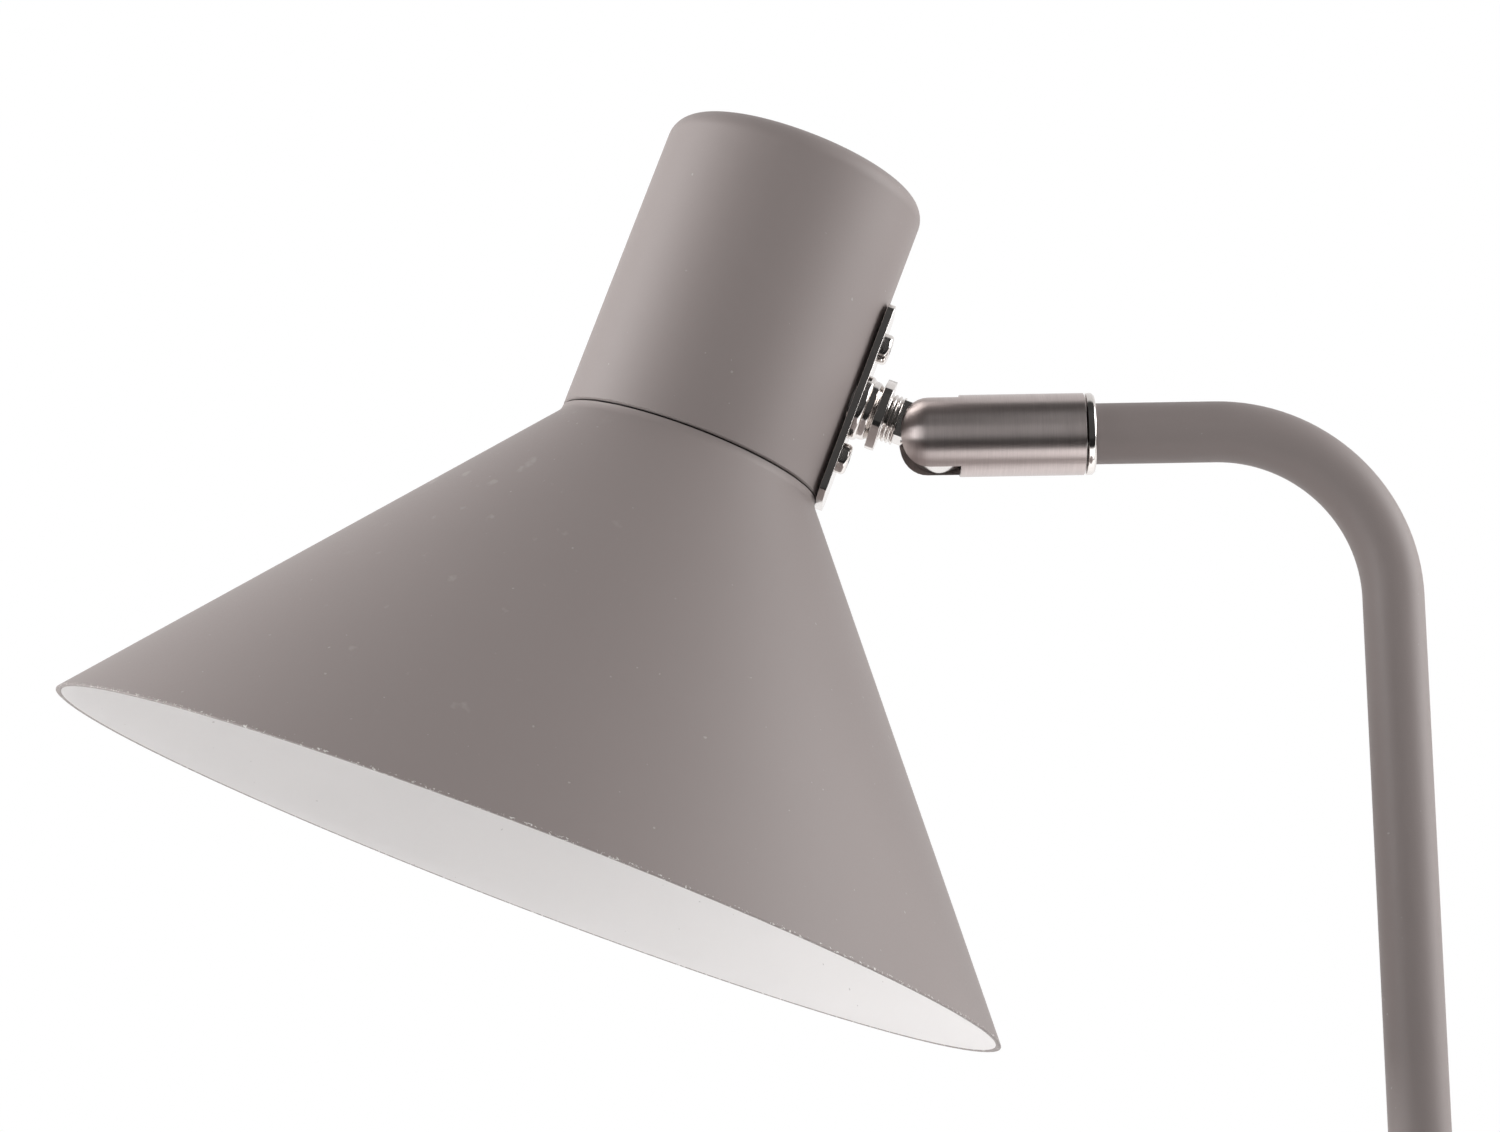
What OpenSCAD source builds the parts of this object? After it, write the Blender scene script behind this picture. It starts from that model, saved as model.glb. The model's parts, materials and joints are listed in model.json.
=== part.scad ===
// Desk lamp: a round weighted base, a bent tube stem, a swivel-and-tilt knuckle
// and a spun metal head that holds one E27 bulb.
// Millimetres. +Z is up, +X runs from the head towards the stem, and the origin
// is the centre of the base's underside.

/* [Stand] */
// Height of the horizontal arm's axis above the table
arm_z = 388; // [300:1:480]
// Outside diameter of the painted stem tube
tube_d = 12.2; // [12:0.1:14]
// Centreline radius of the tube's bend
bend_r = 34; // [26:1:50]
// Distance from the tilt pivot to the stem's axis
reach = 89.1; // [80:0.1:120]
// How far the stem stands behind the base's centre
stem_x = 48; // [40:1:52]
// Diameter of the base cover
base_d = 180; // [176:1:190]

/* [Head] */
// Lean of the head's axis towards the arm, in degrees
lean = 21.5; // [0:0.5:40]
// Outside diameter of the cap
cap_d = 53.9; // [53:0.1:56]
// Height of the cap above the seam
cap_h = 64.3; // [62:0.1:80]
// Outside diameter of the shade's rim
rim_d = 196.2; // [180:0.2:210]
// Depth of the rim plane below the seam
rim_depth = 89.4; // [84:0.2:96]
// Thickness of the spun sheet
sheet = 0.9; // [0.7:0.1:1]

/* [Knuckle] */
// Outside diameter of the knuckle sleeve
sleeve_d = 16.4; // [16.2:0.1:17]
// Length of the sleeve behind the pivot
sleeve_len = 28.7; // [28:0.1:32]
// Thickness of the tongue across the slot
tongue_w = 8; // [7:0.1:8]
// Diameter of the tilt pin
pin_d = 4; // [3.5:0.1:4.2]

/* [Hidden] */
$fn = 96;
eps = 0.5;            // how far a cutter runs past the face it cuts

// Threads are M10x1 throughout, drawn at their outside diameter
thread_d = 9.9;
clear_d = 10.2;       // plain hole that the thread passes through
nut_af = 14;          // across the flats
wire_d = 2;
wire_y = 1.9;         // each of the two wires lies this far from the middle
wire_bore = 6.5;

// Base stack, measured up from the table
pad_t = 2.2;
plate_t = 1.4;
plate_top = pad_t + plate_t;
cover_z = 1;
base_top = 18;
cover_t = 1.2;
cover_round = 5;
weight_z = 8.8;
weight_top = base_top - cover_t;
weight_r = base_d / 2 - 6;
nut_recess_z = 13.8;
gland_z = 7.5;
boss_r = 6;
boss_ring = 70;       // the bosses stand on this radius
boss_angles = [60, 180, 300];
block_x = 62;
block_len = 20;
block_w = 17;
wire_z = 5.8;         // height of the wires where they enter the terminal block
wire_bend = 4.2;

// Arm and knuckle, measured along +X from the pivot
pivot_x = stem_x - reach;
ring_from = sleeve_len + 0.4;
ring_to = ring_from + 1.7;
nipple_from = 13;
back_wall = 4;
sleeve_bore = 13.9;
slot_w = tongue_w + 0.4;
slot_end = 4;
nose_r = 5.9;
tongue_r = 6.8;
neck_from = 8.6;      // the round stud starts this far from the pivot
neck_half = 3.7;

// Head frame: origin on the head's axis at the seam, z up the cap, x towards the arm
head_pivot_x = 45.5;
stud_z = 21;
cap_r = cap_d / 2;
seam = 0.3;           // half of the dark gap between cap and shade
cap_round = 4.5;
plate_x = cap_r + 0.05;
mount_t = 1.5;
mount_w = 15.5;
mount_low = -0.5;
mount_high = 41.8;
screw_zs = [10.0, 33.9];
collar_x = plate_x + mount_t;
nut_x = 32.1;
nut_t = 1.9;
stud_in = 19.5;
strap_x = 23;
strap_t = 2;
strap_w = 14;
strap_z = 38.5;       // underside of the strap's horizontal leg
wire_up_x = 16.5;     // the wires rise here between the holder and the stud
flange_hole_r = 20.3;
holder_r = 19.75;
bulb_top = 6;
bulb_r = 22.5;
bulb_centre = -44;
neck_z = -20;

// ---- placing helpers ----
module in_head() {
    translate([pivot_x, 0, arm_z]) rotate([0, lean, 0])
        translate([-head_pivot_x, 0, -stud_z]) children();
}
// Turns +Z to +X, on the arm's axis at a distance from the pivot
module on_arm(x) { translate([pivot_x + x, 0, arm_z]) rotate([0, 90, 0]) children(); }
// The same on the stud's axis, in the head frame
module on_stud(x, z = stud_z) { translate([x, 0, z]) rotate([0, 90, 0]) children(); }
module at_stem(z) { translate([stem_x, 0, z]) children(); }

// ---- shapes that repeat ----
// Drum with a rounded top edge
module drum(r, h, f) {
    rotate_extrude() union() {
        square([r - f, h]);
        square([r, h - f]);
        translate([r - f, h - f]) circle(r = f);
    }
}
module ring(r_out, r_in, h) {
    difference() {
        cylinder(r = r_out, h = h);
        translate([0, 0, -eps]) cylinder(r = r_in, h = h + 2 * eps);
    }
}
module hex_nut(af, h) {
    difference() {
        cylinder(d = af / cos(30), h = h, $fn = 6);
        translate([0, 0, -eps]) cylinder(d = thread_d, h = h + 2 * eps);
    }
}
// Pan-head screw standing on z = 0 with its shank below, cross recess on top
module pan_screw(d, head_d, head_h, len) {
    difference() {
        union() {
            drum(head_d / 2, head_h, head_h / 2);
            translate([0, 0, -len]) cylinder(d = d, h = len + eps);
        }
        for (a = [0, 90]) rotate([0, 0, a])
            translate([-head_d / 4, -0.45, head_h - 1]) cube([head_d / 2, 0.9, 2]);
    }
}
// Quarter bend of a round rod about the Y axis: r is the centreline radius
module quarter(r, d, from) {
    rotate([90, 0, 0]) rotate([0, 0, from])
        rotate_extrude(angle = 90) translate([r, 0]) circle(d = d);
}
// The stem's bent route, as a rod of diameter d: low and front are its two ends
module stem_rod(d, low, front) {
    at_stem(low) cylinder(d = d, h = arm_z - bend_r - low);
    translate([stem_x - bend_r, 0, arm_z - bend_r]) quarter(bend_r, d, 0);
    on_arm(front) cylinder(d = d, h = reach - bend_r - front);
}

// ---- base ----
module base_pad() color("dimgray") difference() {
    cylinder(r = weight_r, h = pad_t);
    for (a = boss_angles) rotate([0, 0, a])
        translate([boss_ring, 0, -eps]) cylinder(d = 9, h = pad_t + 2 * eps);
}
module base_plate() color("silver") difference() {
    translate([0, 0, pad_t]) cylinder(r = weight_r + 2, h = plate_t);
    for (a = boss_angles) rotate([0, 0, a])
        translate([boss_ring, 0, 0]) cylinder(d = 4.3, h = plate_top + eps);
}
module base_screws() color("silver")
    for (a = boss_angles) rotate([0, 0, a])
        translate([boss_ring, 0, pad_t]) rotate([180, 0, 0]) pan_screw(4, 7, 1.8, 8);
module base_weight() color("darkslategray") difference() {
    union() {
        translate([0, 0, weight_z]) cylinder(r = weight_r, h = weight_top - weight_z);
        for (a = boss_angles) rotate([0, 0, a])
            translate([boss_ring, 0, plate_top]) cylinder(r = boss_r, h = weight_z - plate_top + 1);
    }
    at_stem(0) cylinder(d = clear_d, h = base_top);
    at_stem(weight_z - eps) cylinder(r = 12.5, h = nut_recess_z - weight_z + eps);
    translate([block_x - 3, -block_w / 2 - 2, weight_z - eps])
        cube([block_len + 8, block_w + 4, nut_recess_z - weight_z + eps]);
    translate([weight_r - 4, -7.5, weight_z - eps]) cube([10, 15, base_top]);
    for (a = boss_angles) rotate([0, 0, a]) translate([boss_ring, 0, 0]) cylinder(d = 4, h = 12);
}
module base_cover() color([0.47, 0.43, 0.42]) difference() {
    translate([0, 0, cover_z]) drum(base_d / 2, base_top - cover_z, cover_round);
    translate([0, 0, cover_z - eps])
        drum(base_d / 2 - cover_t, weight_top - cover_z + eps, cover_round - cover_t);
    at_stem(0) cylinder(d = clear_d, h = base_top + eps);
    translate([base_d / 2 - 6, 0, gland_z]) rotate([0, 90, 0]) cylinder(d = 9, h = 10);
}
module cable_gland() color([0.12, 0.12, 0.12])
    translate([base_d / 2, 0, gland_z]) rotate([0, 90, 0]) difference() {
        union() {
            cylinder(r = 6.3, h = 2.4);
            translate([0, 0, -2]) cylinder(r = 4.5, h = 3);
            translate([0, 0, -3]) cylinder(r = 5.7, h = 1.5);
        }
        translate([0, 0, -4]) cylinder(r = 3, h = 8);
    }
module terminal_block() color("ivory") difference() {
    translate([block_x, -block_w / 2, plate_top + 0.2]) cube([block_len, block_w, 9.8]);
    for (s = [-1, 1]) translate([block_x - eps, s * wire_y, wire_z]) rotate([0, 90, 0])
        cylinder(d = 3, h = block_len + 2 * eps);
    for (s = [-1, 1], x = [4, 16]) translate([block_x + x, s * wire_y, wire_z])
        cylinder(d = 2.4, h = 12);
}
module terminal_tubes() color("goldenrod") for (s = [-1, 1]) difference() {
    translate([block_x + 1, s * wire_y, wire_z]) rotate([0, 90, 0])
        cylinder(d = 3, h = block_len - 2);
    translate([block_x - 1, s * wire_y, wire_z]) rotate([0, 90, 0])
        cylinder(d = 2.1, h = block_len + 4);
    for (x = [4, 16]) translate([block_x + x, s * wire_y, wire_z]) cylinder(d = 2.4, h = 4);
}
module terminal_screws() color("goldenrod") for (s = [-1, 1], x = [4, 16])
    translate([block_x + x, s * wire_y, wire_z + wire_d / 2 + 0.1]) difference() {
        cylinder(d = 2.4, h = 6);
        translate([-2, -0.3, 5.2]) cube([4, 0.6, 2]);
    }

// ---- stem ----
module stem_washer() color("silver") at_stem(nut_recess_z - 1.5) ring(11, clear_d / 2, 1.5);
module stem_nut() color("silver") at_stem(nut_recess_z - 4.5) hex_nut(nut_af, 3);
module stem_nipple() color("silver") at_stem(9) ring(thread_d / 2, wire_bore / 2, 25);
module stem_collar() color([0.47, 0.43, 0.42]) difference() {
    at_stem(base_top) drum(10, 6, 1.5);
    at_stem(0) cylinder(d = tube_d, h = 40);
}
module stem_tube() color([0.47, 0.43, 0.42]) difference() {
    stem_rod(tube_d, base_top, ring_to);
    stem_rod(9, base_top - eps, ring_to - eps);
    at_stem(base_top - eps) cylinder(d = thread_d, h = 17);
    on_arm(ring_to - eps) cylinder(d = thread_d, h = 13);
}
module stem_wires() color("sienna") for (s = [-1, 1]) translate([0, s * wire_y, 0]) {
    stem_rod(wire_d, wire_z + wire_bend, nipple_from - 1);
    translate([stem_x + wire_bend, 0, wire_z + wire_bend]) quarter(wire_bend, wire_d, 180);
    translate([stem_x + wire_bend, 0, wire_z]) rotate([0, 90, 0])
        cylinder(d = wire_d, h = block_x + 3 - stem_x - wire_bend);
}

// ---- knuckle ----
module arm_nipple() color("silver") on_arm(nipple_from)
    ring(thread_d / 2, wire_bore / 2, ring_to - nipple_from + 12);
module end_ring() color("gainsboro") on_arm(ring_from) difference() {
    rotate_extrude() polygon([[thread_d / 2, 0], [sleeve_d / 2 - 0.2, 0], [sleeve_d / 2, 0.2],
        [sleeve_d / 2, 1.2], [sleeve_d / 2 - 0.5, 1.7], [thread_d / 2, 1.7]]);
}
module swivel_washer() color("silver")
    on_arm(sleeve_len - back_wall - 1.1) ring(6.6, clear_d / 2, 1);
module swivel_nut() color("silver") on_arm(sleeve_len - back_wall - 4.6) difference() {
    ring(6.5, thread_d / 2, 3.5);
    translate([-8, -0.8, -eps]) cube([16, 1.6, 1.5]);
}
module knuckle_sleeve() color([0.62, 0.58, 0.57]) difference() {
    on_arm(0) rotate_extrude() polygon(concat([[0, sleeve_len], [0, -sleeve_d / 2]],
        [for (a = [0:10:90]) [sleeve_d / 2 - nose_r * (1 - sin(a)),
                              nose_r * (1 - cos(a)) - sleeve_d / 2]],
        [[sleeve_d / 2, sleeve_len]]));
    on_arm(slot_end - 1) cylinder(d = sleeve_bore, h = sleeve_len - back_wall - slot_end + 1);
    on_arm(slot_end) cylinder(r = thread_d / 2 + 0.05, h = sleeve_len);
    translate([pivot_x - sleeve_d, -slot_w / 2, arm_z - sleeve_d])
        cube([sleeve_d + slot_end, slot_w, 2 * sleeve_d]);
    translate([pivot_x, -6.6, arm_z]) rotate([-90, 0, 0]) cylinder(d = pin_d, h = sleeve_d);
}
module tilt_pin() color("silver") translate([pivot_x, -6.6, arm_z]) rotate([-90, 0, 0])
    difference() {
        cylinder(d = pin_d, h = 14.4);
        translate([-3, -0.4, 13.4]) cube([6, 0.8, 2]);
    }

// ---- head: knuckle side ----
module tongue_stud() color("silver") in_head() difference() {
    union() {
        on_stud(stud_in) cylinder(d = thread_d, h = head_pivot_x - stud_in - neck_from);
        translate([head_pivot_x, tongue_w / 2, stud_z]) rotate([90, 0, 0])
            linear_extrude(tongue_w) union() {
                circle(r = tongue_r);
                translate([-neck_from - 0.2, -neck_half]) square([neck_from, 2 * neck_half]);
            }
    }
    on_stud(stud_in - eps) cylinder(d = 6, h = 20.5);
    for (s = [-1, 1]) on_stud(head_pivot_x - 7, stud_z + s * 3.6) cylinder(d = 2.4, h = 20);
    translate([head_pivot_x, tongue_w, stud_z]) rotate([90, 0, 0])
        cylinder(r = pin_d / 2 + 0.05, h = 2 * tongue_w);
    for (i = [0:2]) on_stud(nut_x + nut_t + i * 0.9) rotate_extrude()
        polygon([[thread_d / 2 + 0.1, 0], [thread_d / 2 + 0.1, 0.9], [thread_d / 2 - 0.4, 0.45]]);
}
module stud_collar() color("silver") in_head() on_stud(collar_x) rotate_extrude()
    polygon([[thread_d / 2, 0], [6.7, 0], [6.7, 1.3], [6.4, 1.6], [6.1, 1.6],
        [6.1, nut_x - collar_x], [thread_d / 2, nut_x - collar_x]]);
module stud_nut() color("silver") in_head() on_stud(nut_x) intersection() {
    hex_nut(13.6, nut_t);
    cylinder(r = 7.3, h = nut_t);
}
module stud_lock_nut() color("silver") in_head() on_stud(strap_x - 3) hex_nut(nut_af, 3);
module mount_plate() color("silver") in_head() difference() {
    translate([plate_x + mount_t, 0, 0]) rotate([0, -90, 0]) linear_extrude(mount_t) union() {
        corner = 3;
        translate([mount_low + corner, -mount_w / 2])
            square([mount_high - mount_low - 2 * corner, mount_w]);
        translate([mount_low, -mount_w / 2 + corner])
            square([mount_high - mount_low, mount_w - 2 * corner]);
        for (z = [mount_low + corner, mount_high - corner], s = [-1, 1])
            translate([z, s * (mount_w / 2 - corner)]) circle(r = corner);
    }
    on_stud(20) cylinder(d = clear_d, h = 20);
    for (z = screw_zs) on_stud(20, z) cylinder(d = 4.3, h = 20);
}
module plate_screws() color("silver") in_head()
    for (z = screw_zs) on_stud(collar_x, z) pan_screw(4, 6.3, 1.8, 7);
module cap_shell() color([0.49, 0.46, 0.45]) in_head() difference() {
    translate([0, 0, seam]) drum(cap_r, cap_h - seam, cap_round);
    translate([0, 0, seam - eps]) drum(cap_r - sheet, cap_h - seam - sheet + eps, cap_round - sheet);
    on_stud(15) cylinder(d = 10.6, h = 20);
    for (z = screw_zs) on_stud(15, z) cylinder(d = 4.6, h = 20);
}

// ---- head: lampholder ----
module holder_bracket() color("silver") in_head() difference() {
    union() {
        translate([strap_x, -strap_w / 2, 5]) cube([strap_t, strap_w, strap_z + strap_t - 5]);
        translate([-9, -strap_w / 2, strap_z]) cube([strap_x + strap_t + 9, strap_w, strap_t]);
    }
    on_stud(15) cylinder(d = clear_d, h = 20);
    for (z = screw_zs) on_stud(15, z) cylinder(d = 4, h = 20);
    translate([0, 0, strap_z - eps]) cylinder(d = clear_d, h = 2 * strap_t);
    translate([wire_up_x, 0, strap_z - eps]) cylinder(d = 8, h = 2 * strap_t);
}
module holder_nipple() color("silver") in_head()
    translate([0, 0, 34]) ring(thread_d / 2, wire_bore / 2, 12);
module holder_nut() color("silver") in_head()
    translate([0, 0, strap_z + strap_t]) hex_nut(nut_af, 3);
module holder_dome() color([0.1, 0.1, 0.1]) in_head() rotate_extrude()
    polygon([[20.6, 4], [20.6, 7], [15, 12], [15, 26], [9, 32], [9, strap_z],
        [thread_d / 2, strap_z], [thread_d / 2, 33], [7.5, 31.5], [13.5, 25.4], [13.5, 11.3],
        [19.1, 6.4], [19.1, 4]]);
module holder_skirt() color([0.1, 0.1, 0.1]) in_head() rotate_extrude()
    polygon([[15.5, -17], [19, -17], [holder_r, -16.2], [holder_r, -seam], [21.6, -seam],
        [21.6, 4], [15.5, 4]]);
module holder_core() color("ivory") in_head() translate([0, 0, 8]) difference() {
    cylinder(r = 13.3, h = 3);
    for (s = [-1, 1]) translate([0, 8 * s, -eps]) cylinder(r = 1.5, h = 4);
}
module thread_shell() color("goldenrod") in_head() translate([0, 0, -13]) ring(14.1, 13.7, 21);
module centre_contact() color("goldenrod") in_head() union() {
    translate([-9, -3, 7.5]) cube([18, 6, 0.5]);
    translate([0, 0, bulb_top + 0.3]) cylinder(r = 2.5, h = 7.5 - bulb_top - 0.1);
}
module shade_ring() color([0.1, 0.1, 0.1]) in_head() difference() {
    translate([0, 0, -8]) cylinder(r = 24, h = 8 - seam - 1.25);
    translate([0, 0, -9]) cylinder(r = holder_r, h = 10);
    for (a = [0:20:340]) rotate([0, 0, a]) translate([24.6, 0, -9]) cylinder(r = 1, h = 5);
}
// Sheet-metal cone: a short neck, a small concave blend, then a straight flare to the rim
module shade_cone() color([0.49, 0.46, 0.45]) in_head() {
    neck_end = -1.2;
    blend = 3;
    slope = atan((rim_d / 2 - cap_r) / (rim_depth + neck_end));
    tangent = blend * tan(slope / 2);
    inner_rim = rim_d / 2 - sheet / cos(slope);
    rotate_extrude() polygon(concat(
        [[flange_hole_r, -seam], [cap_r, -seam]],
        [for (i = [0:4]) let (a = slope * i / 4)
            [cap_r + blend * (1 - cos(a)), neck_end + tangent - blend * sin(a)]],
        [[rim_d / 2, -rim_depth], [inner_rim, -rim_depth],
         [cap_r - sheet, -rim_depth + (inner_rim - cap_r + sheet) / tan(slope)],
         [flange_hole_r, -seam - 1.2]]));
}
module head_wires() color("sienna") in_head() for (s = [-1, 1]) translate([0, s * wire_y, 0]) {
    on_stud(stud_in) cylinder(d = wire_d, h = 18);
    translate([stud_in, 0, stud_z + 3]) quarter(3, wire_d, 180);
    translate([wire_up_x, 0, stud_z + 3]) cylinder(d = wire_d, h = 22);
    translate([wire_up_x / 2, 0, stud_z + 25]) {
        quarter(wire_up_x / 2, wire_d, 0);
        quarter(wire_up_x / 2, wire_d, 90);
    }
    translate([0, 0, 11.2]) cylinder(d = wire_d, h = stud_z + 25 - 11.2);
}

// ---- bulb ----
module bulb_cap() color("silver") in_head() rotate_extrude() polygon(concat(
    [[0, 3], [10, 3], [12.6, 1.5]],
    [for (i = [0:5]) each [[13.3, -i * 2.8], [12.4, -i * 2.8 - 1.4]]],
    [[13, -17], [13, neck_z], [12.2, neck_z], [12.2, -18], [0, -18]]));
module bulb_insulator() color([0.08, 0.08, 0.1]) in_head() translate([0, 0, 3])
    cylinder(r = 8, h = 2);
module bulb_contact() color("silver") in_head() translate([0, 0, 5]) drum(4.5, 1, 0.5);
// Hollow: a ball with a conical neck, open at the top where the screw cap closes it
module bulb_globe() color("white") in_head() difference() {
    bulb_form(bulb_r, 12.2, 2);
    bulb_form(bulb_r - 1, 11.2, 4);
}
module bulb_form(r, neck_r, rise) {
    low = bulb_centre + r * 0.572;
    translate([0, 0, bulb_centre]) sphere(r = r);
    translate([0, 0, low]) cylinder(r1 = r * 0.82, r2 = neck_r, h = neck_z - low);
    translate([0, 0, neck_z - 0.01]) cylinder(r = neck_r, h = rise);
}

base_pad();
base_plate();
base_screws();
base_weight();
base_cover();
cable_gland();
terminal_block();
terminal_tubes();
terminal_screws();
stem_washer();
stem_nut();
stem_nipple();
stem_collar();
stem_tube();
stem_wires();
arm_nipple();
end_ring();
swivel_washer();
swivel_nut();
knuckle_sleeve();
tilt_pin();
tongue_stud();
stud_collar();
stud_nut();
stud_lock_nut();
mount_plate();
plate_screws();
cap_shell();
holder_bracket();
holder_nipple();
holder_nut();
holder_dome();
holder_skirt();
holder_core();
thread_shell();
centre_contact();
shade_ring();
shade_cone();
head_wires();
bulb_cap();
bulb_insulator();
bulb_contact();
bulb_globe();
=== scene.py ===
# %% [markdown]
# # Desk lamp with a conical shade
# A bent tube stands on a weighted base, and a small metal knuckle carries the head.
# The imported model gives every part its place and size. This notebook gives the parts
# their looks: smooth meshes where the eye rests, and a procedural finish everywhere.

# %% Load the frame
import math
import bmesh
import bpy
import json
from mathutils import Matrix, Vector

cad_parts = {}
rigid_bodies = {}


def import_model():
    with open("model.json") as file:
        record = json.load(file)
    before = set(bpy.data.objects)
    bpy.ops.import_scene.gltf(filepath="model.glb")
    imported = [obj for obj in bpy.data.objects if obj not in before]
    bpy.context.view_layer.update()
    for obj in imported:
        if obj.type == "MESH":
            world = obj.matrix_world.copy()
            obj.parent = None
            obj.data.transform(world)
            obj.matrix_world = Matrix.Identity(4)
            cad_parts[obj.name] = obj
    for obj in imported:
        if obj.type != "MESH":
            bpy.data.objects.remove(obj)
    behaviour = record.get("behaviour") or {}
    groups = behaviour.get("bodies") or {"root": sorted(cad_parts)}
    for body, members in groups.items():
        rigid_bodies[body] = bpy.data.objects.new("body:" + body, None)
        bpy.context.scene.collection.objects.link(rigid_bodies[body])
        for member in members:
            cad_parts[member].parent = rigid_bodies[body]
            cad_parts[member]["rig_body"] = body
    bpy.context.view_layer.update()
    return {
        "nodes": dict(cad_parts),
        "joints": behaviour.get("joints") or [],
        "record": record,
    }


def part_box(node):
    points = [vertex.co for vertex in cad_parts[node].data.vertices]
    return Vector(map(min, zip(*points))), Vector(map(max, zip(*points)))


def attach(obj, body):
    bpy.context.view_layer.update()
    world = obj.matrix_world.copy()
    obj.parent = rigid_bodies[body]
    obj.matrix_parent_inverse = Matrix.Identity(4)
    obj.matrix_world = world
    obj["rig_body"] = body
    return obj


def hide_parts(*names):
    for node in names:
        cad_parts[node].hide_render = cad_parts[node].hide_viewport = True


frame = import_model()
MM = 0.001
joints = {j["name"]: j for j in frame["joints"]}
pivot = Vector(joints["head_tilt"]["pos_m"])
print("nodes:", len(frame["nodes"]), "pivot:", tuple(round(v, 4) for v in pivot))

# %% [markdown]
# The head leans towards the arm. The bulb slides out along the head's own axis, so that
# joint's direction tells how far the head leans.
# `head` turns head coordinates (origin on the axis at the seam, z up the cap) into room
# coordinates.

# %% The head's own frame
down_axis = Vector(joints["bulb_out"]["axis"]).normalized()
lean = math.atan2(-down_axis.x, -down_axis.z)
PIVOT_IN_HEAD = Vector((45.5, 0, 21)) * MM
head = Matrix.Translation(pivot) @ Matrix.Rotation(lean, 4, "Y") @ Matrix.Translation(-PIVOT_IN_HEAD)
print("head leans", round(math.degrees(lean), 2), "degrees")

# %% [markdown]
# ## Camera
# The lamp is seen from a little below its head with a long lens, which keeps the cone's
# sides nearly straight. The camera's turn is three small angles: yaw, pitch and roll.

# %% Camera
LENS_MM = 91.73
CAMERA_FROM_PIVOT = Vector((-44.7, -745.35, -163.2)) * MM
yaw, pitch, roll = -0.0086, 0.1825, 0.0186
turn = Matrix.Rotation(yaw, 3, "Z") @ Matrix.Rotation(pitch, 3, "X") @ Matrix.Rotation(roll, 3, "Y")
camera = bpy.data.objects.new("camera", bpy.data.cameras.new("camera"))
camera.data.lens = LENS_MM
camera.data.sensor_width = 36
camera.data.clip_start = 0.01
right, forward, up = turn.col[0], turn.col[1], turn.col[2]
camera.matrix_world = Matrix.LocRotScale(pivot + CAMERA_FROM_PIVOT,
                                         Matrix((right, up, -forward)).transposed(), None)
bpy.context.scene.collection.objects.link(camera)
bpy.context.scene.camera = camera
bpy.context.scene.view_settings.view_transform = "Standard"
print("camera at", tuple(round(v, 3) for v in camera.location))

# %% [markdown]
# Three small helpers build the shader nodes of the room and the floor.

# %% Node helpers


def math_node(tree, kind, first, second):
    """A math node fed by two sockets or numbers. Returns its output."""
    node = tree.nodes.new("ShaderNodeMath")
    node.operation = kind
    for source, socket in zip((first, second), node.inputs):
        if isinstance(source, (int, float)):
            socket.default_value = source
        else:
            tree.links.new(source, socket)
    return node.outputs[0]


def map_range(tree, value, low, high, to_low=0.0, to_high=1.0):
    """A map range node that turns low..high into to_low..to_high."""
    node = tree.nodes.new("ShaderNodeMapRange")
    tree.links.new(value, node.inputs["Value"])
    for label, number in (("From Min", low), ("From Max", high), ("To Min", to_low), ("To Max", to_high)):
        node.inputs[label].default_value = number
    return node


def mix_shaders(tree, mask, under, over):
    """The first shader where the mask is 0, the second where it is 1."""
    node = tree.nodes.new("ShaderNodeMixShader")
    for source, socket in zip((mask, under, over), node.inputs):
        tree.links.new(source, socket)
    return node.outputs[0]


# %% [markdown]
# ## Light
# Two square soft boxes stand left and right, so the round parts are light at their sides and
# darker in the middle. The room itself is white to the eye. As a light source it is dim in
# front of the lamp and bright behind it. What the metal mirrors is set apart, by the angle
# round a level line: white from behind and below, then black, then very dark from the front to
# overhead, and light again behind. That draws the bands along the knuckle. The weak front box
# only fills the paint, so it is hidden from reflections, and the strip only glints.

# %% Room
CAMERA_WHITE = 1.0
FRONT_GLOW = 0.09
BACK_GLOW = 0.75
WARMTH = (1.0, 0.985, 0.98, 1)
# Each pair is an angle in degrees, up from straight ahead of the lamp, and a level
MIRRORED = ((-180, 0.50), (-58, 0.90), (-50, 0.01), (-30, 0.01), (-22, 0.03), (52, 0.04),
            (60, 0.03), (88, 0.03), (98, 0.40), (180, 0.50))
MIRRORED_STRENGTH = 2.0

world = bpy.data.worlds.new("room")
bpy.context.scene.world = world
world.use_nodes = True
air = world.node_tree
air.nodes.clear()
seen = air.nodes.new("ShaderNodeBackground")
seen.inputs["Color"].default_value = (1, 1, 1, 1)
seen.inputs["Strength"].default_value = CAMERA_WHITE
direction = air.nodes.new("ShaderNodeSeparateXYZ")
air.links.new(air.nodes.new("ShaderNodeTexCoord").outputs["Generated"], direction.inputs[0])
glow = air.nodes.new("ShaderNodeBackground")
glow.inputs["Color"].default_value = WARMTH
front_to_back = map_range(air, direction.outputs["Y"], -0.45, 0.50, FRONT_GLOW, BACK_GLOW)
air.links.new(front_to_back.outputs["Result"], glow.inputs["Strength"])

towards_front = math_node(air, "MULTIPLY", direction.outputs["Y"], -1)
tip = math_node(air, "ARCTAN2", direction.outputs["Z"], towards_front)
round_turn = map_range(air, tip, -math.pi, math.pi)
bands = air.nodes.new("ShaderNodeValToRGB")
ramp = bands.color_ramp.elements
for degrees, level in MIRRORED:
    if degrees == -180:
        stop = ramp[0]
    elif degrees == 180:
        stop = ramp[-1]
    else:
        stop = ramp.new(degrees / 360 + 0.5)
    stop.color = (level * WARMTH[0], level * WARMTH[1], level * WARMTH[2], 1)
air.links.new(round_turn.outputs["Result"], bands.inputs["Fac"])
mirrored = air.nodes.new("ShaderNodeBackground")
mirrored.inputs["Strength"].default_value = MIRRORED_STRENGTH
air.links.new(bands.outputs["Color"], mirrored.inputs["Color"])

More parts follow.
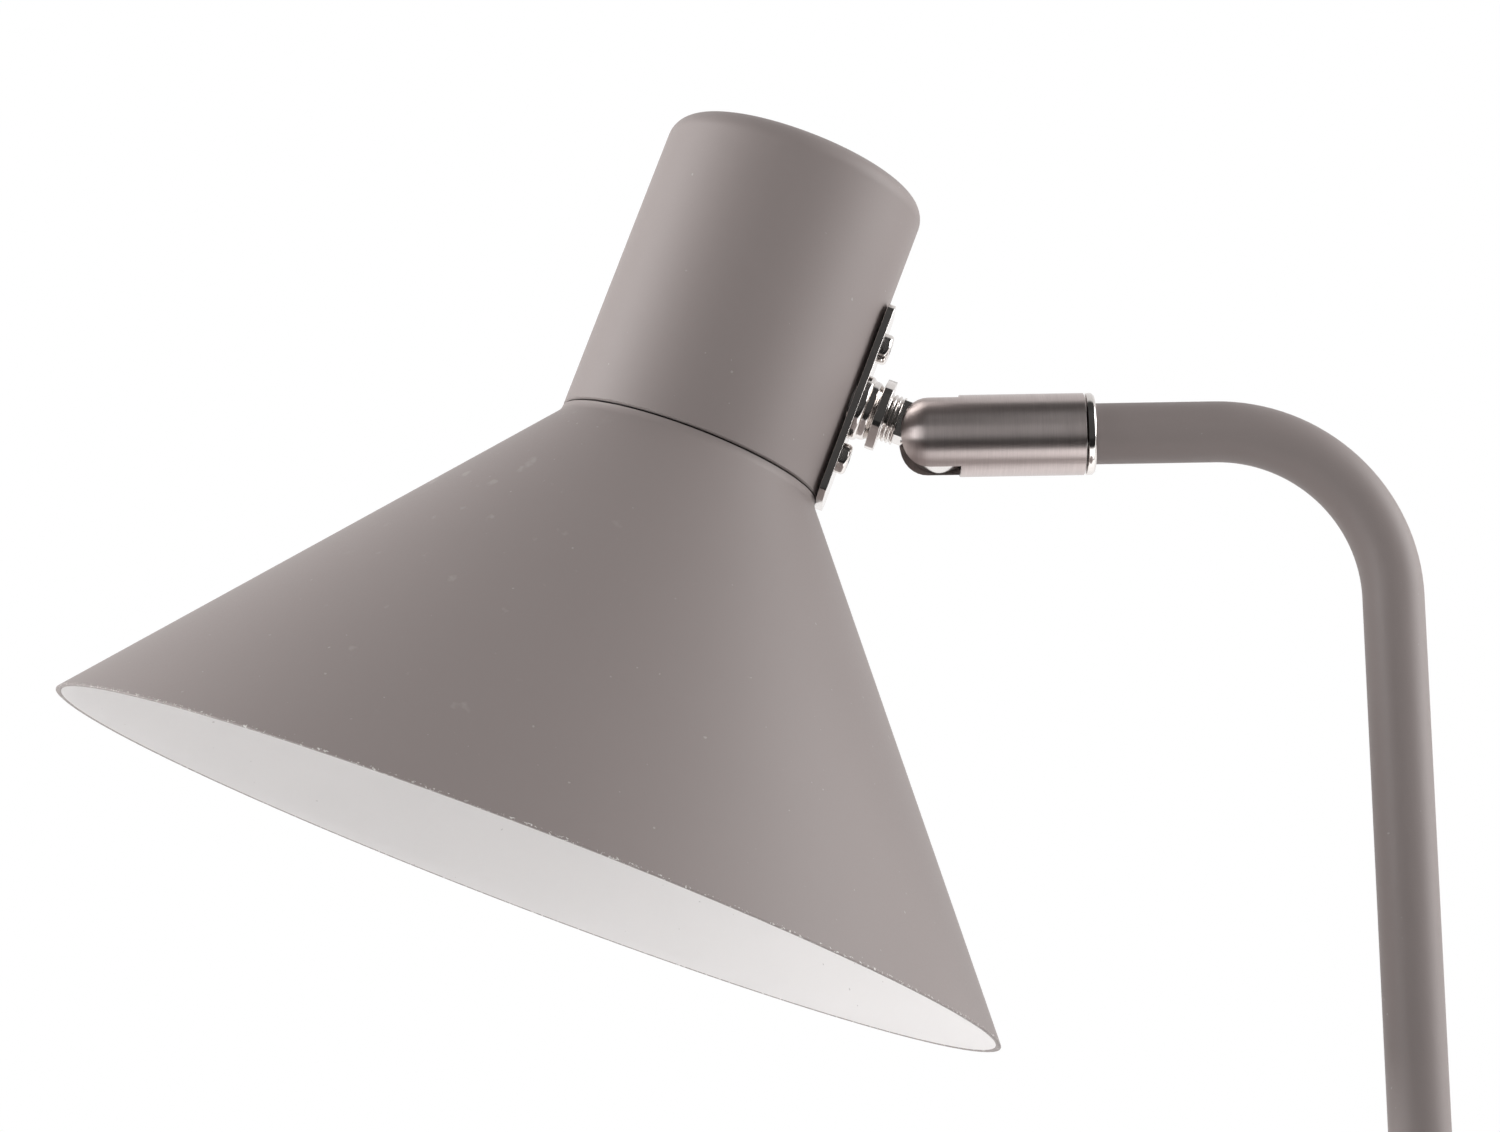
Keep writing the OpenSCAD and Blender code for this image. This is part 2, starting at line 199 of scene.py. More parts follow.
path = air.nodes.new("ShaderNodeLightPath").outputs
lit = mix_shaders(air, path["Is Glossy Ray"], glow.outputs[0], mirrored.outputs[0])
air.links.new(mix_shaders(air, path["Is Camera Ray"], lit, seen.outputs[0]),
              air.nodes.new("ShaderNodeOutputWorld").inputs["Surface"])

# %% Soft boxes
AIM = pivot + Vector((-0.06, 0, -0.05))


def soft_box(name, place, size, watts):
    """A rectangular light that faces the lamp's head and that the camera can't see."""
    data = bpy.data.lights.new(name, "AREA")
    data.shape = "RECTANGLE"
    data.size, data.size_y = size
    data.energy = watts
    box = bpy.data.objects.new(name, data)
    box.location = place
    box.rotation_euler = (AIM - Vector(place)).to_track_quat("-Z", "Y").to_euler()
    box.visible_camera = False
    bpy.context.scene.collection.objects.link(box)
    return box


soft_box("left_box", (-1.15, -0.05, 0.72), (0.9, 0.9), 13.2)
soft_box("right_box", (1.05, -0.05, 0.72), (0.9, 0.9), 12.2)
front_box = soft_box("front_box", (-0.1, -1.6, 0.75), (1.2, 0.4), 4.5)
front_box.visible_glossy = False
strip = soft_box("glint_strip", pivot + Vector((-0.83, -0.56, 0.05)), (0.22, 0.5), 3)
strip.visible_diffuse = False

# %% [markdown]
# ## Floor
# A plain pale sheet under the lamp. It throws light up into the shade. Reflections leave it
# out, so the metal keeps the dark and light bands of the room. It fades into the white room
# with distance, and from below it is clear, so the lamp's underside can be seen. In front of
# the stem the sheet throws no light back, though it looks the same, which keeps the lower
# stem darker.

# %% Floor
FLOOR_HALF = 6.0
FLOOR_TONE = 0.86
FADE_FROM, FADE_TO = 0.16, 0.75
DARK_MIDDLE = (0.22, -0.12, 0)
DARK_RADIUS, DARK_EDGE = 0.24, 0.32
floor_mesh = bpy.data.meshes.new("floor")
floor_mesh.from_pydata([(-FLOOR_HALF, -FLOOR_HALF, 0), (FLOOR_HALF, -FLOOR_HALF, 0),
                        (FLOOR_HALF, FLOOR_HALF, 0), (-FLOOR_HALF, FLOOR_HALF, 0)],
                       [], [(0, 1, 2, 3)])
floor = bpy.data.objects.new("floor", floor_mesh)
bpy.context.scene.collection.objects.link(floor)
floor_paint = bpy.data.materials.new("floor_paper")
floor_paint.use_nodes = True
paper = floor_paint.node_tree
floor_bsdf = paper.nodes["Principled BSDF"]
floor_bsdf.inputs["Roughness"].default_value = 0.9
spot = paper.nodes.new("ShaderNodeNewGeometry").outputs
looked_at = paper.nodes.new("ShaderNodeLightPath").outputs["Is Camera Ray"]


def distance_from(place):
    """How far a spot on the floor is from a place."""
    node = paper.nodes.new("ShaderNodeVectorMath")
    node.operation = "DISTANCE"
    node.inputs[1].default_value = place
    paper.links.new(spot["Position"], node.inputs[0])
    return node.outputs["Value"]


bright = map_range(paper, distance_from(DARK_MIDDLE), DARK_RADIUS, DARK_EDGE)
shown = math_node(paper, "MAXIMUM", bright.outputs["Result"], looked_at)
sheet_tone = paper.nodes.new("ShaderNodeVectorMath")
sheet_tone.operation = "SCALE"
sheet_tone.inputs[0].default_value = (FLOOR_TONE, FLOOR_TONE, FLOOR_TONE)
paper.links.new(shown, sheet_tone.inputs["Scale"])
paper.links.new(sheet_tone.outputs[0], floor_bsdf.inputs["Base Color"])

fade = map_range(paper, distance_from((0, 0, 0)), FADE_FROM, FADE_TO)
fade.interpolation_type = "SMOOTHSTEP"
seen_far = math_node(paper, "MULTIPLY", fade.outputs["Result"], looked_at)
clear = math_node(paper, "MAXIMUM", seen_far, spot["Backfacing"])
see_through = paper.nodes.new("ShaderNodeBsdfTransparent").outputs[0]
paper.links.new(mix_shaders(paper, clear, floor_bsdf.outputs[0], see_through),
                paper.nodes["Material Output"].inputs["Surface"])
floor_mesh.materials.append(floor_paint)
floor.visible_glossy = False

# %% [markdown]
# ## Effects that several finishes share
# A node group is a small machine with named inputs. Each of these is built once and then
# placed in every material that needs it, with that material's own values.


# %% A helper for node groups
class Effect:
    """A shader node group under construction: named inputs, math nodes and named outputs."""

    def __init__(self, name, inputs, outputs):
        self.tree = bpy.data.node_groups.new(name, "ShaderNodeTree")
        for label, value in inputs:
            item = self.tree.interface.new_socket(label, in_out="INPUT", socket_type="NodeSocketFloat")
            item.default_value = value
        for label in outputs:
            self.tree.interface.new_socket(label, in_out="OUTPUT", socket_type="NodeSocketFloat")
        self.given = self.tree.nodes.new("NodeGroupInput").outputs
        self.result = self.tree.nodes.new("NodeGroupOutput").inputs
        self.where = self.tree.nodes.new("ShaderNodeTexCoord").outputs["Object"]

    def link(self, source, target):
        if isinstance(source, (int, float)):
            target.default_value = source
        else:
            self.tree.links.new(source, target)

    def math(self, kind, a, b=0.0):
        node = self.tree.nodes.new("ShaderNodeMath")
        node.operation = kind
        self.link(a, node.inputs[0])
        self.link(b, node.inputs[1])
        return node.outputs[0]

    def stretch(self, scale):
        node = self.tree.nodes.new("ShaderNodeVectorMath")
        node.operation = "MULTIPLY"
        self.tree.links.new(self.where, node.inputs[0])
        node.inputs[1].default_value = scale
        return node.outputs[0]

    def noise(self, scale, detail=2.0, where=None, rough=0.5):
        node = self.tree.nodes.new("ShaderNodeTexNoise")
        self.tree.links.new(where or self.where, node.inputs["Vector"])
        self.link(scale, node.inputs["Scale"])
        node.inputs["Detail"].default_value = detail
        node.inputs["Roughness"].default_value = rough
        return node.outputs["Fac"]

    def band(self, value, low, high):
        node = self.tree.nodes.new("ShaderNodeMapRange")
        self.link(value, node.inputs["Value"])
        self.link(low, node.inputs["From Min"])
        self.link(high, node.inputs["From Max"])
        return node.outputs["Result"]


# %% [markdown]
# Powder paint is sprayed as dust and baked, so it keeps a fine pebbled skin, a faint
# unevenness in tone, and here and there a speck of dust baked in.

# %% Powder coat effect
powder = Effect("powder_coat", [("Grain Scale", 2600.0), ("Speck Scale", 1000.0)],
                ["Tone", "Height", "Speck", "Roughness"])
grain = powder.noise(powder.given["Grain Scale"], 2.0)
cloud = powder.noise(14.0, 3.0)
speck = powder.band(powder.noise(powder.given["Speck Scale"], 0.0), 0.86, 0.89)
powder.link(powder.math("ADD", 0.955, powder.math("MULTIPLY", cloud, 0.09)), powder.result["Tone"])
powder.link(powder.math("ADD", grain, powder.math("MULTIPLY", speck, 2.0)), powder.result["Height"])
powder.link(speck, powder.result["Speck"])
powder.link(powder.math("ADD", 0.44, powder.math("MULTIPLY", grain, 0.14)), powder.result["Roughness"])

# %% [markdown]
# Handling leaves marks: thin rubbed streaks where something brushed past. A noise that is
# squeezed one way and cut off high gives a few streaks and leaves the rest clean.

# %% Rub mark effect
rubs = Effect("rub_marks", [("Amount", 0.6)], ["Mask"])
streak = rubs.noise(1.0, 3.0, where=rubs.stretch((210, 210, 46)))
patch = rubs.band(rubs.noise(11.0, 1.0), 0.60, 0.68)
thin = rubs.band(streak, 0.66, 0.72)
rubs.link(rubs.math("MULTIPLY", rubs.math("MULTIPLY", thin, patch), rubs.given["Amount"]),
          rubs.result["Mask"])

# %% [markdown]
# A turned part that was brushed on a lathe has fine rings round its axis. Stretching a
# noise very wide across the axis and squeezing it along the axis draws those rings. They are
# too fine to see singly from afar, and smear what the metal mirrors along its axis.

# %% Lathe brushing effect
brushing = Effect("lathe_brushing", [("Line Strength", 1.0)], ["Height", "Tone", "Roughness"])
lines = brushing.noise(1.0, 4.0, where=brushing.stretch((5200, 160, 160)), rough=0.7)
wide = brushing.noise(1.0, 2.0, where=brushing.stretch((900, 60, 60)))
brushing.link(brushing.math("MULTIPLY", lines, brushing.given["Line Strength"]),
              brushing.result["Height"])
brushing.link(brushing.math("ADD", 0.80, brushing.math("MULTIPLY", lines, 0.4)),
              brushing.result["Tone"])
brushing.link(brushing.math("ADD", 0.34, brushing.math("MULTIPLY", wide, 0.10)),
              brushing.result["Roughness"])

# %% [markdown]
# Plated and moulded parts are smoother, but never perfect: a low ripple, fine hairlines
# and a slightly uneven gloss.

# %% Hairline effect
hairline = Effect("hairlines", [("Scale", 700.0), ("Gloss", 0.15), ("Spread", 0.15)],
                  ["Height", "Tone", "Roughness"])
ripple = hairline.noise(hairline.given["Scale"], 3.0)
smudge = hairline.noise(90.0, 2.0)
hairline.link(ripple, hairline.result["Height"])
hairline.link(hairline.math("ADD", 0.93, hairline.math("MULTIPLY", ripple, 0.14)), hairline.result["Tone"])
hairline.link(hairline.math("ADD", hairline.given["Gloss"],
                            hairline.math("MULTIPLY", smudge, hairline.given["Spread"])),
              hairline.result["Roughness"])

# %% [markdown]
# Paint is thin on a sheet's cut edge, and it chips there first. This mask is a ragged
# noise, cut high so that only small chips come through.

# %% Chipped edge effect
chips = Effect("edge_chips", [("Scale", 520.0), ("Cover", 0.60)], ["Mask"])
ragged = chips.noise(chips.given["Scale"], 4.0, rough=0.65)
chips.link(chips.band(ragged, chips.given["Cover"],
                      chips.math("ADD", chips.given["Cover"], 0.04)), chips.result["Mask"])
print("effects:", [g.name for g in bpy.data.node_groups])


# %% [markdown]
# ## Finishes
# A finish starts from the Principled shader. The helper below opens a new material and
# places effects in it, and each finish then says what is special about it.


# %% A helper for finishes
class Finish:
    """A material with its Principled shader, into which effects are placed."""

    def __init__(self, name, rough=0.5, metal=0.0, colour=(0.5, 0.5, 0.5)):
        self.material = bpy.data.materials.new(name)
        self.material.use_nodes = True
        self.nodes = self.material.node_tree.nodes
        self.links = self.material.node_tree.links
        self.bsdf = self.nodes["Principled BSDF"]
        self.colour = (*colour, 1)
        self.bsdf.inputs["Base Color"].default_value = self.colour
        self.bsdf.inputs["Roughness"].default_value = rough
        self.bsdf.inputs["Metallic"].default_value = metal
        self.material.diffuse_color = self.colour

    def effect(self, effect, **values):
        node = self.nodes.new("ShaderNodeGroup")
        node.node_tree = effect.tree
        for label, value in values.items():
            node.inputs[label.replace("_", " ")].default_value = value
        return node.outputs

    def toned(self, tone, colour=None):
        """The colour, darkened and lightened by a tone near one."""
        node = self.nodes.new("ShaderNodeVectorMath")
        node.operation = "SCALE"
        node.inputs[0].default_value = (colour or self.colour)[:3]
        self.links.new(tone, node.inputs["Scale"])
        return node.outputs[0]

    def mixed(self, mask, under, over):
        """Under where the mask is 0, over where it is 1. Each is a colour or a socket."""
        node = self.nodes.new("ShaderNodeMix")
        node.data_type = "RGBA"
        self.links.new(mask, node.inputs[0])
        for source, socket in ((under, node.inputs[6]), (over, node.inputs[7])):
            if isinstance(source, tuple):
                socket.default_value = (*source[:3], 1)
            else:
                self.links.new(source, socket)
        return node.outputs[2]

    def paint(self, source):
        self.links.new(source, self.bsdf.inputs["Base Color"])

    def rough(self, source):
        self.links.new(source, self.bsdf.inputs["Roughness"])

    def bump(self, height, distance, strength=1.0):
        node = self.nodes.new("ShaderNodeBump")
        node.inputs["Distance"].default_value = distance
        node.inputs["Strength"].default_value = strength
        self.links.new(height, node.inputs["Height"])
        self.links.new(node.outputs[0], self.bsdf.inputs["Normal"])


# %% [markdown]
# The lamp's main finish is a matte warm grey powder paint. Specks and rub marks are a
# little lighter than the paint.

# %% Grey powder paint
WARM_GREY = (0.292, 0.252, 0.243)
PALE_SPECK = (0.40, 0.36, 0.35)


def powder_paint(name, colour, speck_colour, rub_amount, grain_depth=0.000012):
    finish = Finish(name, rough=0.5, colour=colour)
    coat = finish.effect(powder)
    worn = finish.effect(rubs, Amount=rub_amount)
    base = finish.toned(coat["Tone"])
    base = finish.mixed(coat["Speck"], base, speck_colour)
    finish.paint(finish.mixed(worn["Mask"], base, speck_colour))
    finish.rough(coat["Roughness"])
    finish.bump(coat["Height"], grain_depth)
    finish.bsdf.inputs["Specular IOR Level"].default_value = 0.35
    return finish


grey_paint = powder_paint("warm_grey_powder", WARM_GREY, PALE_SPECK, 0.5).material

# %% [markdown]
# Inside, the shade is white to throw the light down. The cut rim carries only a thin skin
# of grey, with small chips that show the pale sheet under it.

# %% White inside and chipped rim
SHADE_WHITE = (0.82, 0.80, 0.795)
white_paint = powder_paint("shade_white", SHADE_WHITE, (0.60, 0.58, 0.57), 0.1, 0.000008).material
rim = powder_paint("rim_paint", WARM_GREY, PALE_SPECK, 0.2)
chip = rim.effect(chips, Scale=1500.0, Cover=0.58)
painted_rim = rim.bsdf.inputs["Base Color"].links[0].from_socket
rim.paint(rim.mixed(chip["Mask"], painted_rim, (0.72, 0.70, 0.68)))
rim_paint = rim.material

# %% [markdown]
# Metals reflect their surroundings, so their detail is mostly in roughness and in tiny
# height changes. Brushed nickel gets the lathe rings, bright nickel only hairlines.

# %% Metals


def metal_finish(name, colour, gloss, spread, scale=700.0, depth=0.000003):
    finish = Finish(name, metal=1.0, colour=colour)
    marks = finish.effect(hairline, Scale=scale, Gloss=gloss, Spread=spread)
    finish.paint(finish.toned(marks["Tone"]))
    finish.rough(marks["Roughness"])
    finish.bump(marks["Height"], depth)
    return finish.material


brushed = Finish("brushed_nickel", metal=1.0, colour=(0.54, 0.48, 0.468))
ring_marks = brushed.effect(brushing, Line_Strength=1.0)
brushed.paint(brushed.toned(ring_marks["Tone"]))
brushed.rough(ring_marks["Roughness"])
brushed.bump(ring_marks["Height"], 0.00001)
round_axis = brushed.nodes.new("ShaderNodeTangent")
round_axis.direction_type = "RADIAL"
round_axis.axis = "X"
brushed.links.new(round_axis.outputs[0], brushed.bsdf.inputs["Tangent"])
brushed.bsdf.inputs["Anisotropic"].default_value = 0.9
brushed.bsdf.inputs["Anisotropic Rotation"].default_value = 0.25
brushed_nickel = brushed.material
bright_nickel = metal_finish("bright_nickel", (0.72, 0.69, 0.67), 0.05, 0.14)
zinc = metal_finish("zinc_plate", (0.62, 0.62, 0.60), 0.22, 0.25, 400.0, 0.000006)
brass = metal_finish("bare_brass", (0.72, 0.50, 0.22), 0.18, 0.2)
casting = metal_finish("raw_casting", (0.10, 0.10, 0.105), 0.6, 0.3, 260.0, 0.00012)

# %% [markdown]
# Mouldings are not metal, so they keep their own colour in every light. Their bump is the
# fine texture of the mould.

# %% Mouldings, rubber, felt and glass


def moulded(name, colour, gloss, spread=0.15, scale=900.0, depth=0.00001):
    finish = Finish(name, colour=colour)
    marks = finish.effect(hairline, Scale=scale, Gloss=gloss, Spread=spread)
    finish.paint(finish.toned(marks["Tone"]))
    finish.rough(marks["Roughness"])
    finish.bump(marks["Height"], depth)
    return finish


black_moulding = moulded("black_moulding", (0.022, 0.022, 0.023), 0.35).material
black_rubber = moulded("black_rubber", (0.018, 0.018, 0.018), 0.6, 0.2, 500.0, 0.00002).material
ivory_moulding = moulded("ivory_moulding", (0.74, 0.70, 0.60), 0.35).material
glazed = moulded("glazed_insulator", (0.80, 0.78, 0.72), 0.15).material
sheath = moulded("brown_sheath", (0.16, 0.07, 0.03), 0.4).material
black_glass = moulded("black_glass", (0.012, 0.012, 0.018), 0.06, 0.08).material
felt = moulded("black_felt", (0.028, 0.028, 0.03), 0.85, 0.1, 2200.0, 0.0003)
felt.bsdf.inputs["Sheen Weight"].default_value = 0.5
felt_pad = felt.material
opal = moulded("opal_glass", (0.88, 0.88, 0.86), 0.12, 0.08, 300.0, 0.000002)
opal.bsdf.inputs["Subsurface Weight"].default_value = 0.25
opal.bsdf.inputs["Subsurface Radius"].default_value = (0.004, 0.004, 0.004)
opal.bsdf.inputs["Coat Weight"].default_value = 0.4
opal_glass = opal.material

FINISH_OF = {
    "paint_grey": grey_paint, "shade_paint": grey_paint, "felt_pad": felt_pad,
    "zinc_steel": zinc, "cast_weight": casting, "black_rubber": black_rubber,
    "ivory_plastic": ivory_moulding, "brass_contact": brass, "wire_sheath": sheath,
    "polished_nickel": bright_nickel, "brushed_nickel": brushed_nickel,
    "black_holder": black_moulding, "holder_ceramic": glazed, "bulb_metal": bright_nickel,
    "bulb_black": black_glass, "bulb_opal": opal_glass}
slot_of = {s["node"]: s["material_slot"] for s in frame["record"]["subparts"]}
for name, node in frame["nodes"].items():
    node.data.materials.clear()
    node.data.materials.append(FINISH_OF[slot_of[name]])
print("finishes:", len(FINISH_OF))

# %% [markdown]
# ## Mesh tools
# Round sheet-metal parts are spun, so they are lathed here too: a half outline turned
# about an axis. `arc` gives the points of a rounded corner.


# %% Lathe and arc
def arc(cx, cz, radius, start, end, steps=8):
    """Points of an arc about (cx, cz), from one angle to another in degrees."""
    angles = [math.radians(start + (end - start) * i / steps) for i in range(steps + 1)]
    return [(cx + radius * math.cos(a), cz + radius * math.sin(a)) for a in angles]


def add_piece(name, mesh, body, stands_for, materials):
    """Links a finished mesh and lets it ride on its body in place of CAD nodes."""
    piece = bpy.data.objects.new(name, mesh)
    bpy.context.scene.collection.objects.link(piece)
    for material in materials:
        mesh.materials.append(material)
    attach(piece, body)
    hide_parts(*stands_for)
    print(name, "faces:", len(mesh.polygons))
    return piece


def lathe(name, outline, place, segments=144, parts=None):
    """A closed solid turned from an outline of (radius, height) in millimetres.
    parts gives a material number for each edge of the outline."""
    built = bmesh.new()
    rings = []
    for radius, height in outline:
        if radius < 1e-6:
            rings.append([built.verts.new((0, 0, height * MM))] * segments)
            continue
        rings.append([built.verts.new((radius * MM * math.cos(2 * math.pi * k / segments),
                                       radius * MM * math.sin(2 * math.pi * k / segments),
                                       height * MM)) for k in range(segments)])
    closed = outline[0][0] > 1e-6
    pairs = len(outline) if closed else len(outline) - 1
    for i in range(pairs):
        low, high = rings[i], rings[(i + 1) % len(rings)]
        for k in range(segments):
            corners = [low[k], low[(k + 1) % segments], high[(k + 1) % segments], high[k]]
            corners = list(dict.fromkeys(corners))
            if len(corners) > 2:
                face = built.faces.new(corners)
                face.smooth = True
                face.material_index = parts[i] if parts else 0
    bmesh.ops.recalc_face_normals(built, faces=built.faces)
    built.transform(place)
    mesh = bpy.data.meshes.new(name)
    built.to_mesh(mesh)
    built.free()
    mesh.set_sharp_from_angle(angle=math.radians(32))
    return mesh


# %% [markdown]
# The shade is one sheet: a clamped flange, a short neck, a small blend and a straight
# flare. The cut rim is rounded by a third of a millimetre, so it catches a thin light line.

# %% Shade
CAP_R = 26.95
RIM_R = 98.1
RIM_Z = -89.4
SHEET = 0.9
NECK_Z = -1.2
BLEND_R = 3.0
SEAM = 0.3
LIP = 0.28
slope = math.atan((RIM_R - CAP_R) / (NECK_Z - RIM_Z))
blend_top = NECK_Z + BLEND_R * math.tan(slope / 2)
blend_steps = [slope * i / 8 for i in range(9)]
outside = [(CAP_R + BLEND_R * (1 - math.cos(a)), blend_top - BLEND_R * math.sin(a))
           for a in blend_steps]
flare = [(CAP_R + (RIM_R - CAP_R) * t, NECK_Z + (RIM_Z - NECK_Z) * t)
         for t in (0.2, 0.4, 0.6, 0.8, 0.993)]
inner_rim = RIM_R - SHEET / math.cos(slope)
lip = [(RIM_R - LIP * math.sin(slope), RIM_Z + LIP * math.cos(slope)),
       (RIM_R - LIP * 0.6, RIM_Z + LIP * 0.3), (RIM_R - LIP * 1.5, RIM_Z),
       (inner_rim + LIP * 0.6, RIM_Z), (inner_rim - LIP * 0.3, RIM_Z + LIP * 0.5)]
inner_top = RIM_Z + (inner_rim - CAP_R + SHEET) / math.tan(slope)
inner_flare = [(inner_rim + (CAP_R - SHEET - inner_rim) * t, RIM_Z + (inner_top - RIM_Z) * t)
               for t in (0.03, 0.2, 0.4, 0.6, 0.8, 1.0)]
shade_outline = ([(20.3, -SEAM), (CAP_R - 0.25, -SEAM), (CAP_R, -SEAM - 0.25)] + outside + flare
                 + lip + inner_flare + [(20.3, -SEAM - 1.2)])
lip_from = 3 + len(outside) + len(flare) - 1
shade_parts = [0 if i < lip_from else (1 if i < lip_from + len(lip) else 2)
               for i in range(len(shade_outline))]
add_piece("shade", lathe("shade", shade_outline, head, 192, shade_parts), "head",
          ["shade_cone"], [grey_paint, rim_paint, white_paint])

# %% [markdown]
# The cap is a deep-drawn cup, open downwards. Its top edge is a generous round.

# %% Cap
CAP_TOP = 64.3
CAP_ROUND = 4.5
inside_r = CAP_R - SHEET
cap_outline = ([(0, CAP_TOP), (12, CAP_TOP)]
               + arc(CAP_R - CAP_ROUND, CAP_TOP - CAP_ROUND, CAP_ROUND, 90, 0, 14)
               + [(CAP_R, SEAM + 0.3), (CAP_R - 0.3, SEAM), (inside_r, SEAM)]
               + arc(inside_r - CAP_ROUND + SHEET, CAP_TOP - CAP_ROUND, CAP_ROUND - SHEET, 0, 90)
               + [(0, CAP_TOP - SHEET)])
add_piece("cap", lathe("cap", cap_outline, head), "head", ["cap_shell"],
          [grey_paint])

# %% [markdown]
# ## Stem
# The stem is one tube, bent cold round a former. The sweep walks along its centreline and
# sets a ring of points at each stop, closest together in the bend.

# %% Stem tube
tube_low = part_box("stem_tube")[0]
ring_low, ring_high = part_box("end_ring")
collar_low, collar_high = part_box("stem_collar")
TUBE_R = 0.0061
BEND_R = 0.034
stem_x = (collar_low.x + collar_high.x) / 2
arm_z = pivot.z
route = [(Vector((stem_x, 0, tube_low.z + (arm_z - BEND_R - tube_low.z) * t)), 0.0)
         for t in (0, 0.02, 0.5, 0.98)]
for step in range(33):
    bend_angle = math.pi / 2 * step / 32
    route.append((Vector((stem_x - BEND_R + BEND_R * math.cos(bend_angle), 0,
                          arm_z - BEND_R + BEND_R * math.sin(bend_angle))), bend_angle))
arm_front = ring_high.x
route += [(Vector((arm_front + (stem_x - BEND_R - arm_front) * t, 0, arm_z)), math.pi / 2)
          for t in (0.96, 0.5, 0.02, 0)]


def sweep(name, stops, radius, sides=64):
    built = bmesh.new()
    rings = []
    for centre, angle in stops:
        outward = Vector((math.cos(angle), 0, math.sin(angle)))
        across = Vector((0, 1, 0))
        rings.append([built.verts.new(centre + radius * (outward * math.cos(a) + across * math.sin(a)))
                      for a in (2 * math.pi * k / sides for k in range(sides))])
    for low, high in zip(rings, rings[1:]):
        for k in range(sides):
            built.faces.new([low[k], low[(k + 1) % sides], high[(k + 1) % sides], high[k]]).smooth = True
    built.faces.new(rings[0])
    built.faces.new(rings[-1])
    bmesh.ops.recalc_face_normals(built, faces=built.faces)
    mesh = bpy.data.meshes.new(name)
    built.to_mesh(mesh)
    built.free()
    mesh.set_sharp_from_angle(angle=math.radians(35))
    return mesh


add_piece("bent_tube", sweep("bent_tube", route, TUBE_R), "stand",
          ["stem_tube"], [grey_paint])

# %% [markdown]
# ## Base
# The base cover is a spun steel lid over the weight, with a soft outer round and a small
# lower edge. The collar covers the hole that the stem comes through.

# %% Base cover and stem collar
base_low, base_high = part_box("base_cover")
BASE_R = (base_high.y - base_low.y) / 2 / MM
BASE_TOP = base_high.z / MM
BASE_LOW = base_low.z / MM
WALL = 1.2
ROUND = 5.0
cover_outline = ([(0, BASE_TOP), (40, BASE_TOP), (70, BASE_TOP)]
                 + arc(BASE_R - ROUND, BASE_TOP - ROUND, ROUND, 90, 0, 12)
                 + [(BASE_R, BASE_LOW + 0.4), (BASE_R - 0.4, BASE_LOW), (BASE_R - WALL, BASE_LOW)]
                 + arc(BASE_R - ROUND, BASE_TOP - ROUND, ROUND - WALL, 0, 90)
                 + [(0, BASE_TOP - WALL)])
add_piece("base_lid", lathe("base_lid", cover_outline, Matrix.Identity(4), 192), "stand",
          ["base_cover"], [grey_paint])
collar_place = Matrix.Translation((stem_x, 0, 0))
collar_outline = ([(6.12, 18), (9.7, 18), (10, 18.3), (10, 22)] + arc(8.3, 22.3, 1.7, 0, 90)
                  + [(6.6, 24), (6.12, 23.6)])
add_piece("stem_cup", lathe("stem_cup", collar_outline, collar_place, 96), "stand",
          ["stem_collar"], [grey_paint])

# %% [markdown]
# ## Small metal parts
# Nuts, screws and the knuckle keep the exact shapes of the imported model, because they have
# to fit. A real machined edge is never knife sharp, though: each part is copied, its flat
# triangles are joined into clean faces, and a narrow bevel breaks every edge so that it
# catches light.


# %% Broken edges
def edge_broken(node, width_mm, segments=2):
    source = frame["nodes"][node]
    built = bmesh.new()
    built.from_mesh(source.data)
    bmesh.ops.remove_doubles(built, verts=built.verts, dist=1e-6)
    bmesh.ops.dissolve_limit(built, angle_limit=math.radians(0.8), verts=built.verts,
                             edges=built.edges)
    for face in built.faces:
        face.smooth = True
    mesh = bpy.data.meshes.new(node + "_finished")
    built.to_mesh(mesh)
    built.free()
    mesh.set_sharp_from_angle(angle=math.radians(28))
    piece = add_piece(node + "_finished", mesh, source["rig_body"], [node],
                      [FINISH_OF[slot_of[node]]])
    bevel = piece.modifiers.new("broken_edge", "BEVEL")
    bevel.width = width_mm * MM
    bevel.segments = segments
    bevel.limit_method = "ANGLE"
    bevel.angle_limit = math.radians(28)
    bevel.harden_normals = True
    return piece


